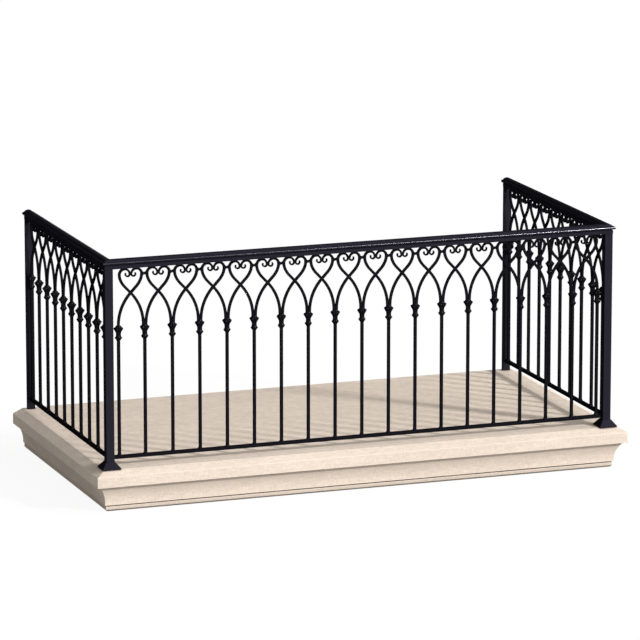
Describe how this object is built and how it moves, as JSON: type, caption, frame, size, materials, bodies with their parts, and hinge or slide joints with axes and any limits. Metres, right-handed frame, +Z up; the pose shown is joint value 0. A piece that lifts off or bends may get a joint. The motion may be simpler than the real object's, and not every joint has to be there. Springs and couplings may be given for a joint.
{
  "type": "wrought iron balcony railing on a moulded stone slab",
  "caption": "Three-sided black wrought iron balcony railing with crossing arch bars that curl into hearts under a moulded handrail, on a stone slab with a hollow moulding below.",
  "frame": {"origin": "middle of the flat underside of the slab, under the middle of the whole", "axes": "+X along the front railing, to the right seen from outside; +Y towards the house wall; +Z up"},
  "size_m": [2.705, 1.411, 1.208],
  "materials": {
    "stone": "matte",
    "black_iron": "satin"
  },
  "bodies": {
    "root": {"base_band": "stone", "cove_moulding": "stone", "floor_slab": "stone", "post_front_left": "black_iron", "post_front_right": "black_iron", "post_back_left": "black_iron", "post_back_right": "black_iron", "shoe_front_left": "black_iron", "shoe_front_right": "black_iron", "bottom_rail_front": "black_iron", "bottom_rail_left": "black_iron", "bottom_rail_right": "black_iron", "top_rail_front": "black_iron", "top_rail_left": "black_iron", "top_rail_right": "black_iron", "handrail_front": "black_iron", "handrail_left": "black_iron", "handrail_right": "black_iron", "balusters_front": "black_iron", "balusters_left": "black_iron", "balusters_right": "black_iron", "collars_front": "black_iron", "collars_left": "black_iron", "collars_right": "black_iron", "scrollwork_front": "black_iron", "scrollwork_left": "black_iron", "scrollwork_right": "black_iron", "heart_links_front": "black_iron", "heart_links_left": "black_iron", "heart_links_right": "black_iron"}
  },
  "joints": []
}
